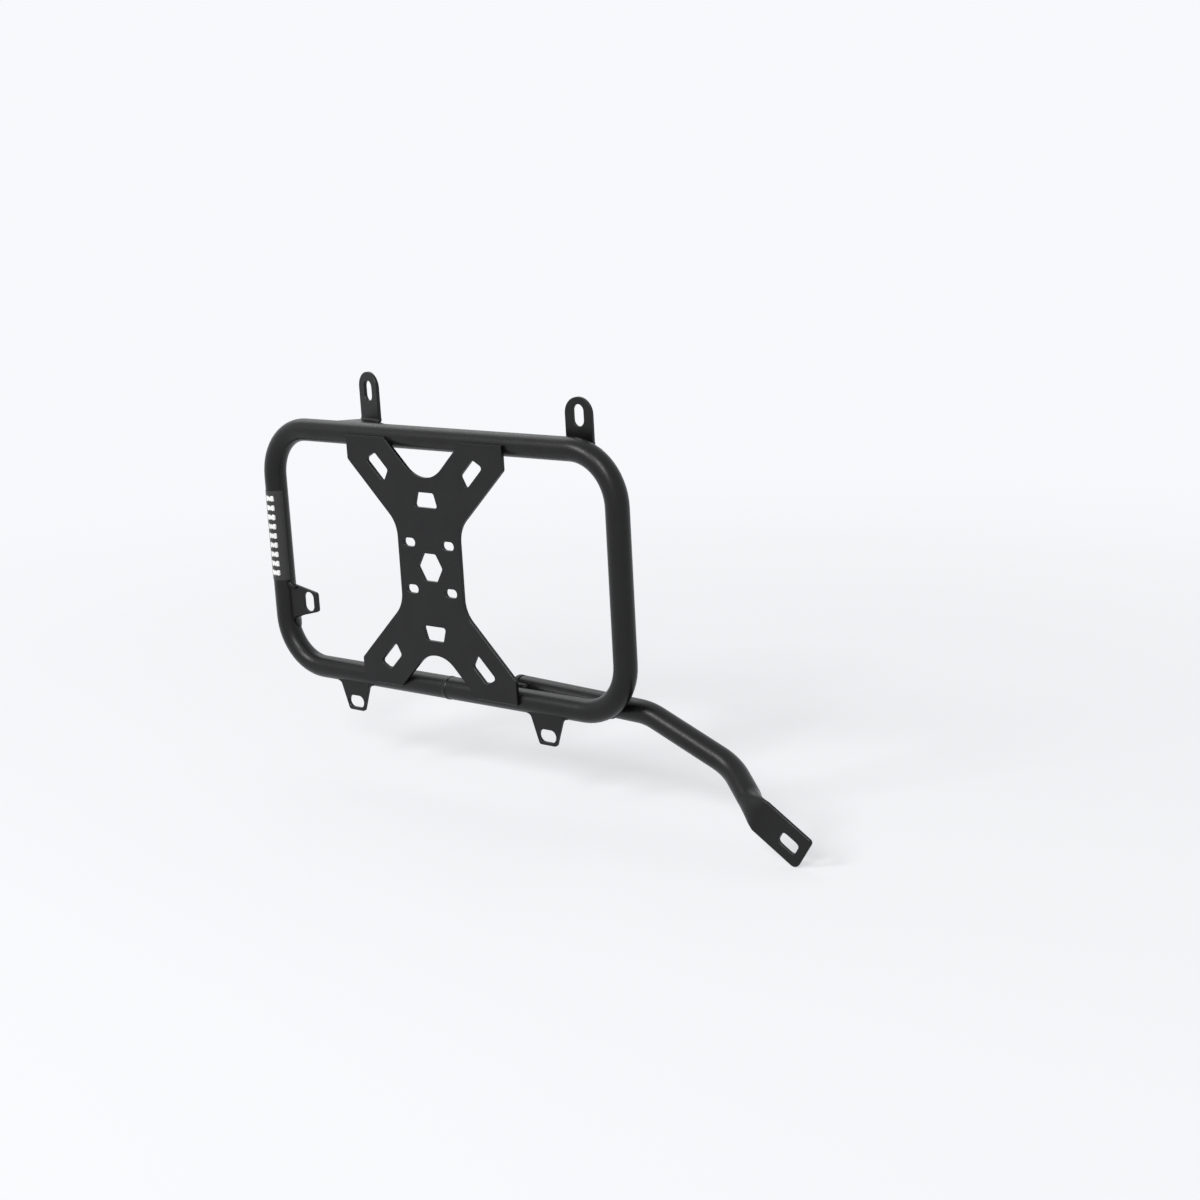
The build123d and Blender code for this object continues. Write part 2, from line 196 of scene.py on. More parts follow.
class Nodes:
    """Short calls that fill a material's node tree."""

    LOWER_THIRD = 0.33
    UPPER_THIRD = 0.67
    COLOUR_A, COLOUR_B, COLOUR_OUT = 6, 7, 2  # the Mix node's colour sockets

    def __init__(self, name: str) -> None:
        """Starts a material with one Principled shader.

        Args:
            name: Name of the material.
        """
        self.material = bpy.data.materials.new(name)
        self.material.use_nodes = True
        self.tree = self.material.node_tree
        self.shader = self.tree.nodes["Principled BSDF"]
        self.places = self.tree.nodes.new("ShaderNodeTexCoord").outputs["Object"]

    def set(self, **values: float | tuple) -> None:
        """Sets constants on the shader's own sockets.

        Args:
            values: Value of each socket. An underscore in its name stands for a space.
        """
        for name, value in values.items():
            self.shader.inputs[name.replace("_", " ")].default_value = value

    def noise(self, grain: float, detail: float = 2.0) -> bpy.types.NodeSocket:
        """Noise whose cells are about one grain across.

        Args:
            grain: Size of a cell in metres.
            detail: Number of finer layers.

        Returns:
            The socket with the noise, about 0 to 1.
        """
        node = self.tree.nodes.new("ShaderNodeTexNoise")
        node.inputs["Scale"].default_value = 1 / grain
        node.inputs["Detail"].default_value = detail
        self.tree.links.new(self.places, node.inputs["Vector"])
        return node.outputs["Fac"]

    def spread(self, source: bpy.types.NodeSocket, low: float, high: float) -> bpy.types.NodeSocket:
        """Carries the middle of a noise over to a range.

        Args:
            source: Socket with the noise.
            low: Value at the noise's lower third.
            high: Value at its upper third.

        Returns:
            The socket with the spread value.
        """
        node = self.tree.nodes.new("ShaderNodeMapRange")
        node.inputs["From Min"].default_value = self.LOWER_THIRD
        node.inputs["From Max"].default_value = self.UPPER_THIRD
        node.inputs["To Min"].default_value = low
        node.inputs["To Max"].default_value = high
        self.tree.links.new(source, node.inputs["Value"])
        return node.outputs["Result"]

    def tint(self, source: bpy.types.NodeSocket, dark: tuple, light: tuple) -> None:
        """Colours the shader from one tone to another along a noise.

        Args:
            source: Socket with the noise.
            dark: Colour at the noise's lower third.
            light: Colour at its upper third.
        """
        node = self.tree.nodes.new("ShaderNodeMix")
        node.data_type = "RGBA"
        self.tree.links.new(self.spread(source, 0.0, 1.0), node.inputs["Factor"])
        node.inputs[self.COLOUR_A].default_value = (*dark, 1.0)
        node.inputs[self.COLOUR_B].default_value = (*light, 1.0)
        self.tree.links.new(node.outputs[self.COLOUR_OUT], self.shader.inputs["Base Color"])

    def roughness(self, source: bpy.types.NodeSocket) -> None:
        """Joins a socket to the shader's roughness."""
        self.tree.links.new(source, self.shader.inputs["Roughness"])

    def bump(self, layers: list[tuple[bpy.types.NodeSocket, float, float]]) -> None:
        """Stacks bumps, coarse first, on the shader's normal.

        Args:
            layers: Height socket, depth in metres and strength of each layer.
        """
        normal = None
        for height, depth, strength in layers:
            node = self.tree.nodes.new("ShaderNodeBump")
            node.inputs["Distance"].default_value = depth
            node.inputs["Strength"].default_value = strength
            self.tree.links.new(height, node.inputs["Height"])
            if normal is not None:
                self.tree.links.new(normal, node.inputs["Normal"])
            normal = node.outputs["Normal"]
        self.tree.links.new(normal, self.shader.inputs["Normal"])


@dataclass(frozen=True)
class PowderCoat:
    """Satin black powder coat: orange peel a millimetre or two across with a fine grain on it."""

    dark: tuple = (0.0040, 0.0040, 0.0043)
    light: tuple = (0.0060, 0.0060, 0.0063)
    cloud: float = 22 * MM
    peel: float = 1.7 * MM
    peel_depth: float = 0.05 * MM
    peel_strength: float = 0.45
    grain: float = 0.5 * MM
    grain_depth: float = 0.03 * MM
    grain_strength: float = 0.5
    rough_low: float = 0.28
    rough_high: float = 0.38
    gloss: float = 0.26

    def material(self) -> bpy.types.Material:
        """Faint clouds in the black, and roughness and bump from the peel and the grain.

        Returns:
            The node material.
        """
        nodes = Nodes("powder_coat")
        nodes.tint(nodes.noise(self.cloud), self.dark, self.light)
        peel, grain = nodes.noise(self.peel), nodes.noise(self.grain)
        nodes.roughness(nodes.spread(peel, self.rough_low, self.rough_high))
        nodes.bump([
            (peel, self.peel_depth, self.peel_strength),
            (grain, self.grain_depth, self.grain_strength),
        ])
        nodes.set(Specular_IOR_Level=self.gloss)
        return nodes.material


@dataclass(frozen=True)
class PlugPlastic:
    """Black moulded polythene with a fine spark-eroded grain."""

    dark: tuple = (0.010, 0.010, 0.0105)
    light: tuple = (0.014, 0.014, 0.0145)
    cloud: float = 9 * MM
    grain: float = 0.25 * MM
    grain_depth: float = 0.015 * MM
    grain_strength: float = 0.5
    rough_low: float = 0.50
    rough_high: float = 0.60
    gloss: float = 0.4

    def material(self) -> bpy.types.Material:
        """Faint clouds in the black, and roughness and bump from the grain.

        Returns:
            The node material.
        """
        nodes = Nodes("plug_plastic")
        nodes.tint(nodes.noise(self.cloud), self.dark, self.light)
        grain = nodes.noise(self.grain)
        nodes.roughness(nodes.spread(grain, self.rough_low, self.rough_high))
        nodes.bump([(grain, self.grain_depth, self.grain_strength)])
        nodes.set(Specular_IOR_Level=self.gloss)
        return nodes.material


@dataclass(frozen=True)
class Vinyl:
    """Printed vinyl film with a slight haze."""

    name: str
    dark: tuple
    light: tuple
    rough_low: float = 0.30
    rough_high: float = 0.38
    cloud: float = 14 * MM
    haze: float = 0.8 * MM
    haze_depth: float = 0.006 * MM
    haze_strength: float = 0.4

    def material(self) -> bpy.types.Material:
        """Faint clouds in the tone, and roughness and bump from the haze.

        Returns:
            The node material.
        """
        nodes = Nodes(self.name)
        nodes.tint(nodes.noise(self.cloud), self.dark, self.light)
        haze = nodes.noise(self.haze)
        nodes.roughness(nodes.spread(haze, self.rough_low, self.rough_high))
        nodes.bump([(haze, self.haze_depth, self.haze_strength)])
        return nodes.material


LABEL_FILM = Vinyl("label_film", (0.0135, 0.0133, 0.0134), (0.0175, 0.0172, 0.0173))
LABEL_PRINT = Vinyl("label_print", (0.70, 0.70, 0.69), (0.78, 0.78, 0.77))


# Sizes that the pieces share


@dataclass(frozen=True)
class TubeLoop:
    """Axis of the bent loop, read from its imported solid."""

    half_w: float
    half_h: float
    tube_r: float
    axis_y: float
    bend: float = 40.0 * MM

    @classmethod
    def from_frame(cls) -> "TubeLoop":
        """Reads the loop's box: its depth is the tube's diameter, and the rest is the axis.

        Returns:
            The loop's sizes.
        """
        low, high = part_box("main_loop")
        radius = (high.y - low.y) / 2
        return cls(high.x - radius, high.z - radius, radius, (high.y + low.y) / 2)


@dataclass(frozen=True)
class PressedArm:
    """Support arm: a bent tube, open at the back, whose front end is pressed flat and slotted."""

    loop: TubeLoop
    lap: float = 115.0 * MM
    past: float = 5.5 * MM
    rise: float = 4.1 * MM
    wall: float = 1.5 * MM
    bend: float = 50.0 * MM
    knee: tuple = (74.0 * MM, -2.0 * MM, -29.1 * MM)
    crank: tuple = (43.2 * MM, -26.7 * MM, -25.9 * MM)
    press: float = 26.0 * MM
    press_power: float = 1.5
    bore_depth: float = 14.0 * MM
    slope: float = 32.5
    toe_back: float = 3.4 * MM
    toe_lift: float = 2.2 * MM
    toe_w: float = 27.2 * MM
    toe_join: float = 12.0 * MM
    toe_end: float = 14.5 * MM
    slot_at: float = 28.1 * MM
    slot_low: float = 0.7 * MM
    slot_l: float = 15.8 * MM
    slot_w: float = 9.4 * MM
    slot_power: float = 4.5
    corner_upper: float = 3.0 * MM
    corner_lower: float = 5.0 * MM
    edge: float = 1.4 * MM
    slot_edge: float = 0.4 * MM
    hold: float = 0.3 * MM
    butt: float = 0.05 * MM
    butt_way: float = 0.02
    sharp: float = 35.0
    columns: int = 160
    arc_steps: int = 24
    press_steps: int = 40
    edge_steps: int = 9
    rim_steps: int = 12
    corner_steps: int = 14
    side_steps: int = 40
    tip_steps: int = 24
    join_steps: int = 28

    @property
    def slant(self) -> float:
        """Slope of the straight run beside the loop, which falls forwards."""
        return -self.rise / (self.lap + self.past)

    @property
    def slot_middle(self) -> Points:
        """Middle of the slot in the plane of the flat."""
        return np.array([self.slot_at, -self.slot_low])

    def corners(self) -> Points:
        """Corners of the axis before it is bent.

        Returns:
            Start, first bend, knee and crank, one row each.
        """
        beside = self.loop.axis_y + 2 * self.loop.tube_r
        start = np.array([self.loop.half_w - self.lap, beside, self.rise - self.loop.half_h])
        first = np.array([self.loop.half_w + self.past, beside, -self.loop.half_h])
        knee = first + self.knee
        return np.stack([start, first, knee, knee + self.crank])

    def toe_axes(self) -> Points:
        """Axes of the flat, which slopes down forwards.

        Returns:
            Ways along the flat, up across it and out of its outer face, one row each.
        """
        turn = math.radians(self.slope)
        along = (math.cos(turn), 0, -math.sin(turn))
        across = (math.sin(turn), 0, math.cos(turn))
        return np.array([along, across, (0, -1, 0)])

    def toe_origin(self) -> Points:
        """Middle of the line where the flat begins."""
        along, across, _ = self.toe_axes()
        return self.corners()[-1] - along * self.toe_back + across * self.toe_lift

    def bend_arc(self, corner: int) -> tuple[Points, Points]:
        """Arc that rounds a corner of the axis.

        With d the way in and n square to it, towards the way out, the arc from its first
        tangent point is r (d sin f + n (1 - cos f)), and its way is d cos f + n sin f.

        Args:
            corner: Number of the corner.

        Returns:
            The points, and the way of the axis at each.
        """
        before, here, after = self.corners()[corner - 1:corner + 2]
        inward, onward = unit(here - before), unit(after - here)
        square = unit(onward - inward * (inward @ onward))
        whole = np.arccos(inward @ onward)
        turn = np.linspace(0, whole, self.arc_steps)[:, None]
        start = here - inward * self.bend * np.tan(whole / 2)
        points = start + self.bend * (inward * np.sin(turn) + square * (1 - np.cos(turn)))
        return points, inward * np.cos(turn) + square * np.sin(turn)

    def press_line(self) -> tuple[Points, Points]:
        """Axis of the press: a cubic from the end of the round tube to the start of the flat.

        At u from 0 to 1 it has gone 3 u^2 - 2 u^3 of the straight way, and stands off it by
        the reach times u (1 - u), along (1 - u) of the way in less u of the way out.

        Returns:
            The points, and the way of the axis at each.
        """
        knee, crank = self.corners()[2:]
        shin = unit(crank - knee)
        along = self.toe_axes()[0]
        start, end = crank - shin * self.press, self.toe_origin()
        reach = np.linalg.norm(end - start)
        u = np.linspace(0, 1, self.press_steps)[:, None]
        ease = u * u * (3 - 2 * u)
        points = start + (end - start) * ease + reach * u * (1 - u) * (shin * (1 - u) - along * u)
        ways = np.gradient(points, axis=0)
        ways[0], ways[-1] = shin, along
        return points, unit(ways)

    def flat_outline(self) -> Points:
        """Section of the flat: a bar with rounded edges.

        Returns:
            Points across and out of the flat, evenly spread along its girth.
        """
        middle = np.array([self.toe_w / 2 - self.edge, self.wall - self.edge])
        turn = np.linspace(0, np.pi / 2, self.edge_steps)
        corner = middle + self.edge * np.stack([np.cos(turn), np.sin(turn)], axis=-1)
        side = np.array([[self.toe_w / 2, 0]])
        mirror = corner[::-1] * (-1, 1)
        loop = np.concatenate([side, corner, mirror, -corner, -mirror, side])
        run = np.append(0, np.cumsum(np.linalg.norm(np.diff(loop, axis=0), axis=1)))
        at = np.linspace(0, run[-1], self.columns, endpoint=False)
        return np.stack([np.interp(at, run, loop[:, k]) for k in (0, 1)], axis=-1)

    def tube_points(self) -> tuple[Points, int]:
        """Skin of the tube from the bottom of its open end, over its mouth, to the flat.

        Each section is (1 - w) times a circle plus w times the flat's outline, point by point
        along the girth, where w grows from 0 to 1 along the press as a power of the way.

        Returns:
            The points of the rings, then the two poles, and the number of rings.
        """
        start, first = self.corners()[:2]
        ahead = unit(first - start)
        along, across, _ = self.toe_axes()
        depth = np.array([self.bore_depth, self.slot_edge, 0, 0, self.slot_edge])
        inset = np.array([self.wall, self.wall, self.wall - self.slot_edge, self.slot_edge, 0])
        mouth = start + depth[:, None] * ahead
        (first_arc, first_ways), (knee_arc, knee_ways) = self.bend_arc(1), self.bend_arc(2)
        press, press_ways = self.press_line()
        join = self.toe_origin() + along * self.toe_join
        centres = np.concatenate([mouth, first_arc, knee_arc, press, join[None]])
        mouth_ways = np.tile(ahead, (len(mouth), 1))
        ways = np.concatenate([mouth_ways, first_ways, knee_ways, press_ways, along[None]])
        flat = np.zeros(len(centres))
        flat[-1 - len(press):-1] = np.linspace(0, 1, len(press)) ** self.press_power
        flat[-1] = 1
        radius = np.full(len(centres), self.loop.tube_r)
        radius[:len(mouth)] -= inset
        turn = full_turn(self.columns)
        ring = np.stack([np.cos(turn), np.sin(turn)], axis=-1)
        section = (1 - flat)[:, None, None] * radius[:, None, None] * ring
        section = section + flat[:, None, None] * self.flat_outline()
        upward = unit(across - ways * (ways @ across)[:, None])
        outward = np.cross(ways, upward)
        rings = centres[:, None] + section[..., :1] * upward[:, None]
        rings = rings + section[..., 1:] * outward[:, None]
        poles = np.stack([mouth[0], join])
        return np.concatenate([rings.reshape(-1, 3), poles]), len(centres)

    def toe_loop(self) -> tuple[Points, Points]:
        """Outline of the flat from its join with the tube, and the way out of each side.

        Returns:
            Points in the plane of the flat, and the way out at each, which is slight at the join.
        """
        half, end = self.toe_w / 2, self.slot_at + self.toe_end
        low, high = self.corner_lower, self.corner_upper
        side, tip, join = self.side_steps, self.tip_steps, self.join_steps
        quarter = np.linspace(0, np.pi / 2, self.corner_steps)[1:-1]
        low_way = np.stack([np.sin(quarter), -np.cos(quarter)], axis=-1)
        high_way = np.stack([np.cos(quarter), np.sin(quarter)], axis=-1)
        out = np.linspace(self.toe_join, end - low, side)
        rise = np.linspace(low - half, half - high, tip)
        back = np.linspace(end - high, self.toe_join, side)
        inner = half - self.edge - 2 * self.hold
        drop = np.linspace(inner, -inner, join)
        points = np.concatenate([
            np.stack([out, np.full(side, -half)], axis=-1),
            np.array([end - low, low - half]) + low * low_way,
            np.stack([np.full(tip, end), rise], axis=-1),
            np.array([end - high, half - high]) + high * high_way,
            np.stack([back, np.full(side, half)], axis=-1),
            np.stack([np.full(join, self.toe_join - self.butt), drop], axis=-1),
        ])
        ways = np.concatenate([
            np.tile((0, -1), (side, 1)), low_way, np.tile((1, 0), (tip, 1)),
            high_way, np.tile((0, 1), (side, 1)), np.tile((-self.butt_way, 0), (join, 1)),
        ])
        return points, ways

    def slot_loop(self, rays: Points, grow: float) -> Points:
        """Squarish slot's outline, met by rays from its middle.

        The outline is |x / a|^n + |y / b|^n = 1, so a ray meets it at (|x / a|^n + |y / b|^n)^(-1/n).

        Args:
            rays: Ways of the rays in the plane of the flat.
            grow: How far the outline stands off the slot.

        Returns:
            One point on each ray.
        """
        half = np.array([self.slot_l, self.slot_w]) / 2 + grow
        reach = (np.abs(rays / half) ** self.slot_power).sum(axis=1) ** (-1 / self.slot_power)
        return self.slot_middle + rays * reach[:, None]

    def toe_points(self) -> tuple[Points, int]:
        """Skin of the slotted flat: out over the outer face, round the edge, back and through the slot.

        Each loop is the outline of the flat or of the slot, set off, at its own level. Round the
        edge the loops follow two quarter circles, one from each face.

        Returns:
            The points, and the number of loops that the skin goes through.
        """
        outline, ways = self.toe_loop()
        rays = unit(outline - self.slot_middle)
        face, cut = self.wall, self.slot_edge
        held = outline - ways * (self.edge + self.hold)
        turn = np.linspace(0, np.pi, self.rim_steps)
        level = np.sign(np.cos(turn)) * (face - self.edge) + self.edge * np.cos(turn)
        loops = [self.slot_loop(rays, cut), self.slot_loop(rays, cut + self.hold), held]
        loops += [outline - ways * self.edge * (1 - bulge) for bulge in np.sin(turn)]
        loops += [held, loops[1], loops[0], self.slot_loop(rays, 0), self.slot_loop(rays, 0)]
        levels = np.concatenate([[face] * 3, level, [-face] * 3, [cut - face, face - cut]])
        plan = np.stack(loops)[:, ::-1]
        along, across, out = self.toe_axes()
        points = self.toe_origin() + plan[..., :1] * along + plan[..., 1:] * across
        points = points + levels[:, None, None] * out
        return points.reshape(-1, 3), len(levels)

    def build(self) -> bpy.types.Object:
        """Joins the tube's skin and the flat's in one mesh.

        Returns:
            The piece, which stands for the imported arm.
        """
        tube, rings = self.tube_points()
        toe, loops = self.toe_points()
        faces = [
            closed_rows(rings, self.columns),
            pole_fans(rings, self.columns),
            closed_grid(loops, len(toe) // loops) + len(tube),
        ]
        piece = solid("pressed_arm", np.concatenate([tube, toe]), faces, self.sharp)
        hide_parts("support_arm")
        return piece


@dataclass(frozen=True)
class Bead:
    """Place of one weld bead: its middle, the way it runs and the way it faces."""

    middle: tuple[float, float, float]
    along: tuple[float, float, float]
    outward: tuple[float, float, float]
    length: float
    radius: float


@dataclass(frozen=True)
class RippledWelds:
    """Beads laid as a row of overlapping crescents, under the coat."""

    name: str
    node: str | None
    beads: tuple[Bead, ...]
    ripple: Ripple
    depth: float = 0.13
    crescent: float = 0.55
    end_power: float = 5.0
    shift: float = 0.37
    sway: float = 0.06
    sway_waves: float = 2.3
    rows: int = 120
    columns: int = 36

    def surface(self, bead: Bead, number: int) -> Points:
        """Rippled rod of one bead.

        The radius along the rod is r (1 - |t|^p)^(1/2), with t from -1 to 1, times a row of
        round humps. A hump's phase lags away from the crown of the bead, so the ripples bow.
        The rod sways from side to side by a sine of t.

        Args:
            bead: Place and size of the bead.
            number: Number of the bead, which shifts its ripples.

        Returns:
            The points of the rings, then the two poles.
        """
        along = np.array(Vector(bead.along).normalized())
        outward = np.array(Vector(bead.outward))
        outward = unit(outward - along * (outward @ along))
        side = np.cross(along, outward)
        t = rod_stations(self.rows)[:, None]
        turn = full_turn(self.columns)[None, :]
        run = t * bead.length / 2
        lag = self.crescent * bead.radius * (1 - np.cos(turn))
        phase = (run - lag) / self.ripple.value + self.shift * number
        radius = bead.radius * np.sqrt(1 - np.abs(t) ** self.end_power)
        radius = radius * ripple_swell(phase, self.depth)
        sway = self.sway * bead.radius * np.sin(self.sway_waves * t * np.pi / 2 + number)
        rings = (
            np.array(bead.middle)
            + run[..., None] * along
            + (radius * np.cos(turn))[..., None] * outward
            + (radius * np.sin(turn) + sway)[..., None] * side
        )
        poles = np.array(bead.middle) + np.array([[-1], [1]]) * along * bead.length / 2
        return np.concatenate([rings.reshape(-1, 3), poles])

    def build(self) -> bpy.types.Object:
        """Joins every bead of the row in one mesh.

        Returns:
            The piece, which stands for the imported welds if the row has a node.
        """
        size = self.rows * self.columns + 2
        points = [self.surface(bead, number) for number, bead in enumerate(self.beads)]
        faces = []
        for number in range(len(self.beads)):
            faces.append(closed_rows(self.rows, self.columns) + number * size)
            faces.append(pole_fans(self.rows, self.columns) + number * size)
        piece = solid(self.name, np.concatenate(points), faces)
        if self.node:
            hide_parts(self.node)
        return piece


@dataclass(frozen=True)
class RootRun:
    """Weld that runs out from under the side tab, down the loop's rear bend."""

    loop: TubeLoop
    ripple: Ripple = Ripple.WIDE
    crest: float = 1.5 * MM
    above: float = 9.0 * MM
    below: float = 13.0 * MM
    lump: float = 4.5 * MM
    lump_up: float = 0.8 * MM
    lump_spread: float = 1.3 * MM
    half_w: float = 5.6 * MM
    sink: float = 1.6 * MM
    facing: float = 24.0
    depth: float = 0.1
    rows: int = 120
    columns: int = 36

    def build(self) -> bpy.types.Object:
        """Elliptic rod on the tube's skin, bent with the tube.

        With q the way down from the tab's lower edge, the rod's height is half of a long ellipse
        plus a bell just under the tab, times a row of round humps.

        Returns:
            The piece.
        """
        bend = self.loop.bend
        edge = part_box("side_tab")[0].z
        start = bend - self.loop.half_h
        half = (self.above + self.below) / 2
        t = rod_stations(self.rows)[:, None]
        q = t * half + (self.below - self.above) / 2
        turn = full_turn(self.columns)[None, :]
        taper = np.sqrt(1 - t ** 2)
        bell = np.exp(-(((q + self.lump_up) / self.lump_spread) ** 2) / 2)
        height = self.crest * taper + self.lump * bell * taper
        height = height * ripple_swell(q / self.ripple.value, self.depth)
        reach = self.loop.tube_r + (height - self.sink) / 2 + (height + self.sink) / 2 * np.cos(turn)
        aside = -self.half_w * taper * np.sin(turn)
        down = start - edge + q
        angle = np.maximum(down, 0) / bend
        facing = math.radians(self.facing)
        inward = reach * math.cos(facing) - aside * math.sin(facing)
        back = reach * math.sin(facing) + aside * math.cos(facing)
        x = -self.loop.half_w + bend * (1 - np.cos(angle)) + inward * np.cos(angle)
        z = start - bend * np.sin(angle) + inward * np.sin(angle) - np.minimum(down, 0)
        rings = np.stack([x, self.loop.axis_y + back, z], axis=-1)
        poles = rings[[0, -1]].mean(axis=1)
        points = np.concatenate([rings.reshape(-1, 3), poles])
        faces = [closed_rows(self.rows, self.columns), pole_fans(self.rows, self.columns)]
        return solid("side_tab_run", points, faces)


@dataclass(frozen=True)
class SeamRing:
    """Butt weld round the loop's lower run."""

    loop: TubeLoop
    ripple: Ripple = Ripple.WIDE
    sink: float = 0.35 * MM
    flush: float = 0.6
    depth: float = 0.3
    crescent: float = 0.9 * MM
    rows: int = 420
    columns: int = 20

    def build(self) -> bpy.types.Object:
        """Ring whose section is a low crown, with humps that run round the tube.

        With a the angle round the section, a point lies half the width times cos a along the
        tube. It stands c sin a off the tube's skin, where c is the crown over the skin, times
        the humps, and the sink under it.

        Returns:
            The piece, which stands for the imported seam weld.
        """
        low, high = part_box("loop_seam_weld")
        middle = (low.x + high.x) / 2
        half = (high.x - low.x) / 2
        crown = self.flush * (high.z + self.loop.half_h - self.loop.tube_r)
        turn = full_turn(self.rows)[:, None]
        around = full_turn(self.columns)[None, :]
        across = np.cos(around)
        humps = round(2 * np.pi * self.loop.tube_r / self.ripple.value)
        lag = self.crescent / self.ripple.value * across ** 2
        swell = ripple_swell(turn / (2 * np.pi) * humps - lag, self.depth)
        rise = np.where(np.sin(around) > 0, crown * swell, self.sink)
        radius = self.loop.tube_r + rise * np.sin(around)
        points = np.stack([
            middle + half * across + 0 * turn,
            self.loop.axis_y + radius * np.cos(turn),
            -self.loop.half_h + radius * np.sin(turn),
        ], axis=-1)
        faces = closed_grid(self.rows, self.columns)
        piece = solid("seam_weld_ring", points.reshape(-1, 3), [faces])
        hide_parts("loop_seam_weld")
        return piece


@dataclass(frozen=True)
class FrameWelds:
    """All the welds of the frame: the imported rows, in their places, and those of the side tab."""

    loop: TubeLoop
    arm: PressedArm
    bite: float = 1.0 * MM
    stitch_r: float = 2.4 * MM
    stitch_l: float = 10.0 * MM
    stitch_inner: float = 42.0 * MM
    stitch_lean: float = 0.35
    fillet_r: float = 2.8 * MM
    fillet_l: float = 12.0 * MM
    fillet_lean: float = 0.7
    sheet_t: float = 3.0 * MM
    rear_lift: float = 0.8 * MM
    nose_turn: float = 23.0
    nose_side: float = 80.0
    start_at: float = 6.5 * MM
    corner_past: float = 16.0 * MM
    side_out: float = 2.0 * MM
    side_turn: float = 6.0
    side_at: float = 12.0 * MM
    side_drop: float = 1.2 * MM
    side_fall: float = 0.45
    side_l: float = 9.0 * MM
    side_r: float = 2.5 * MM
    side_bite: float = 1.4 * MM
    side_lean: float = 0.5
    side_depth: float = 0.3
    side_power: float = 2.0

    def plate_stitches(self) -> tuple[Bead, ...]:
        """Beads in the wedge between the plate's back and the tube, two behind each foot.

        Returns:
            The beads of the lower run, then those of the upper run.
        """
        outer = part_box("plate_welds")[1].x - self.stitch_l / 2
        seat = self.stitch_r - self.bite
        y = self.loop.axis_y - self.loop.tube_r + seat
        z = self.loop.half_h - 2 * math.sqrt(self.loop.tube_r * seat)
        row = (-outer, -self.stitch_inner, self.stitch_inner, outer)
        size = self.stitch_l, self.stitch_r
        return tuple(
            Bead((x, y, side * z), (1, 0, 0), (0, self.stitch_lean, -side), *size)
            for side in (-1, 1) for x in row
        )

    def flange_bead(self, x: float, lift: float) -> Bead:
        """Bead on top of a bracket's flange, against the straight run of the tube.

        Args:
            x: Middle of the bead along the upper run.
            lift: Height of the flange above the tube's axis.

        Returns:
            The bead.
        """
        seat = self.fillet_r - self.bite
        rise = lift + self.sheet_t / 2 + seat
        y = self.loop.axis_y + math.sqrt((self.loop.tube_r + seat) ** 2 - rise ** 2)
        spot, out = (x, y, self.loop.half_h + rise), (0, self.fillet_lean, 1)
        return Bead(spot, (1, 0, 0), out, self.fillet_l, self.fillet_r)

    def rear_beads(self) -> tuple[Bead, ...]:
        """Beads at the two ends of the rear flange.

        Returns:
            The bead at the back, then the one at the front.
        """
        low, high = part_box("rear_bracket_welds")
        ends = (low.x + self.fillet_l / 2, high.x - self.fillet_l / 2)
        return tuple(self.flange_bead(x, self.rear_lift) for x in ends)

    def front_beads(self) -> tuple[Bead, ...]:
        """Bead at the back of the front flange, and one that runs on round the loop's bend.

        Returns:
            The two beads, in that order.
        """
        bend = self.loop.bend
        turn, side = math.radians(self.nose_turn), math.radians(self.nose_side)
        bend_out = Vector((math.sin(turn), 0, math.cos(turn)))
        out = bend_out * math.cos(side) + Vector((0, math.sin(side), 0))
        middle = Vector((self.loop.half_w - bend, self.loop.axis_y, self.loop.half_h - bend))
        spot = middle + bend_out * bend + out * (self.loop.tube_r + self.stitch_r - self.bite)
        along = (math.cos(turn), 0, -math.sin(turn))
        back = self.flange_bead(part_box("front_bracket_welds")[0].x + self.fillet_l / 2, 0)
        return back, Bead(tuple(spot), along, tuple(out), self.stitch_l, self.stitch_r)

    def groove_bead(self, x: float, loop_rise: float, loop_slope: float, side: int) -> Bead:
        """Bead between the arm and the loop, tangent to two circles less the weld's bite.

        Args:
            x: Middle of the bead along the lower run.
            loop_rise: How far the loop has risen off its lower run there.
            loop_slope: The loop's slope there.
            side: 1 for the upper groove, -1 for the lower one.

        Returns:
            The bead.
        """
        seat = self.fillet_r - self.bite
        gap = 2 * self.loop.tube_r
        rise = loop_rise - self.arm.slant * (x - self.loop.half_w - self.arm.past)
        apart = math.hypot(gap, rise)
        off = side * math.sqrt((self.loop.tube_r + seat) ** 2 - (apart / 2) ** 2)
        y = self.loop.axis_y + gap / 2 + off * rise / apart
        z = loop_rise - self.loop.half_h + off * gap / apart - rise / 2
        along = (1, 0, (loop_slope + self.arm.slant) / 2)
        return Bead((x, y, z), along, (0, 0, side), self.fillet_l, self.fillet_r)

    def arm_beads(self) -> tuple[Bead, ...]:
        """Beads in both grooves, by the plug and where the loop turns up off the arm.

        Returns:
            The two beads of the lower groove, then those of the upper one.
        """
        bend = self.loop.bend
        start = self.loop.half_w - self.arm.lap + self.start_at
        corner = self.loop.half_w - bend + self.corner_past
        drop = math.sqrt(bend ** 2 - self.corner_past ** 2)
        ends = (start, 0, 0), (corner, bend - drop, self.corner_past / drop)
        return tuple(self.groove_bead(*end, side) for side in (-1, 1) for end in ends)

